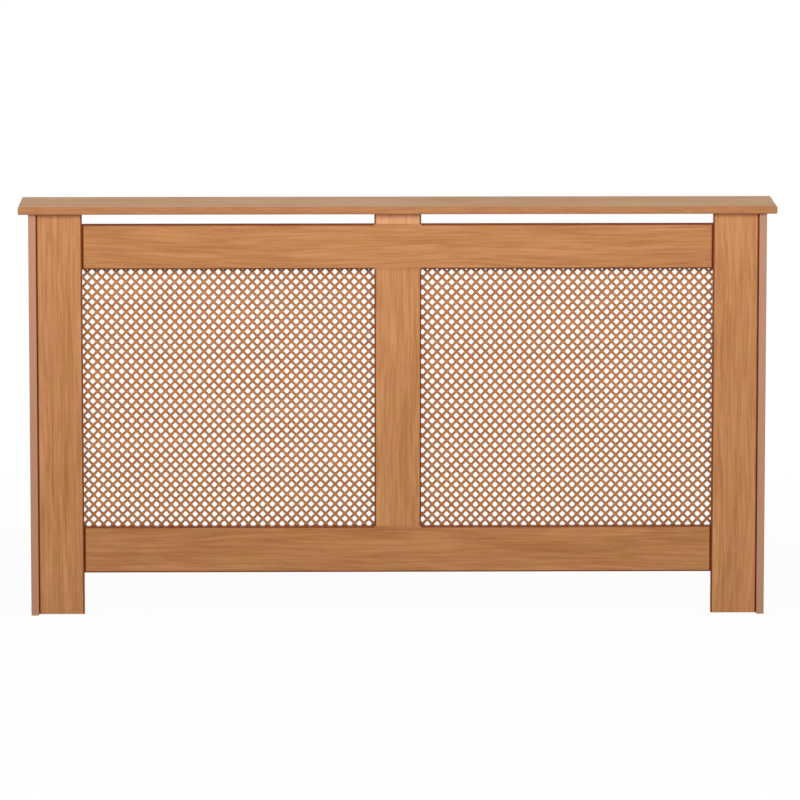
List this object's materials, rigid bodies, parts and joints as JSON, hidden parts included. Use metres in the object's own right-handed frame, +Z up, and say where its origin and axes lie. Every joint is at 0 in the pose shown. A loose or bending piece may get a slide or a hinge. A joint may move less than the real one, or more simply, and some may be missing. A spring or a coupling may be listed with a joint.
{
  "type": "radiator cover cabinet",
  "caption": "Free-standing oak-effect radiator casing with an overhanging shelf, broad front posts, diamond-pierced grille windows and air slots under the shelf; open at the back.",
  "frame": {"origin": "on the floor, under the middle of the shelf", "axes": "+X to the right as seen from the front, along the shelf; +Y back to the wall; +Z up"},
  "size_m": [1.52, 0.19, 0.83],
  "materials": {
    "oak_veneer": "satin oak-effect veneer with a dark-stained edge, fine straight grain",
    "pierced_board": "thin pierced board, oak-coloured face, darker cut edges",
    "beech_dowel": "bare turned beech",
    "zinc_casting": "dull zinc die casting",
    "plated_steel": "bright zinc-plated steel",
    "brown_nylon": "moulded brown nylon"
  },
  "bodies": {
    "root": {"top_shelf": "oak_veneer", "top_rail": "oak_veneer", "bottom_rail": "oak_veneer", "centre_stile": "oak_veneer", "spacer_block": "oak_veneer", "stile_lower_dowel_left": "beech_dowel", "stile_lower_dowel_right": "beech_dowel", "stile_upper_dowel_left": "beech_dowel", "stile_upper_dowel_right": "beech_dowel", "spacer_dowel_left": "beech_dowel", "spacer_dowel_right": "beech_dowel", "left_side_panel": "oak_veneer", "left_front_post": "oak_veneer", "left_post_dowel_1": "beech_dowel", "left_post_dowel_2": "beech_dowel", "left_post_dowel_3": "beech_dowel", "left_grille": "pierced_board", "left_grille_clip_top_1": "brown_nylon", "left_grille_clip_top_2": "brown_nylon", "left_grille_clip_bottom_1": "brown_nylon", "left_grille_clip_bottom_2": "brown_nylon", "left_grille_clip_post": "brown_nylon", "left_grille_clip_stile": "brown_nylon", "top_rail_cam_left": "zinc_casting", "top_rail_cam_bolt_left": "plated_steel", "top_rail_dowel_left": "beech_dowel", "bottom_rail_cam_left": "zinc_casting", "bottom_rail_cam_bolt_left": "plated_steel", "bottom_rail_dowel_left": "beech_dowel", "left_shelf_cam": "zinc_casting", "left_shelf_cam_bolt": "plated_steel", "left_shelf_dowel": "beech_dowel", "left_wall_bracket": "plated_steel", "left_bracket_screw_1": "plated_steel", "left_bracket_screw_2": "plated_steel", "right_side_panel": "oak_veneer", "right_front_post": "oak_veneer", "right_post_dowel_1": "beech_dowel", "right_post_dowel_2": "beech_dowel", "right_post_dowel_3": "beech_dowel", "right_grille": "pierced_board", "right_grille_clip_top_1": "brown_nylon", "right_grille_clip_top_2": "brown_nylon", "right_grille_clip_bottom_1": "brown_nylon", "right_grille_clip_bottom_2": "brown_nylon", "right_grille_clip_post": "brown_nylon", "right_grille_clip_stile": "brown_nylon", "top_rail_cam_right": "zinc_casting", "top_rail_cam_bolt_right": "plated_steel", "top_rail_dowel_right": "beech_dowel", "bottom_rail_cam_right": "zinc_casting", "bottom_rail_cam_bolt_right": "plated_steel", "bottom_rail_dowel_right": "beech_dowel", "right_shelf_cam": "zinc_casting", "right_shelf_cam_bolt": "plated_steel", "right_shelf_dowel": "beech_dowel", "right_wall_bracket": "plated_steel", "right_bracket_screw_1": "plated_steel", "right_bracket_screw_2": "plated_steel"}
  },
  "joints": []
}
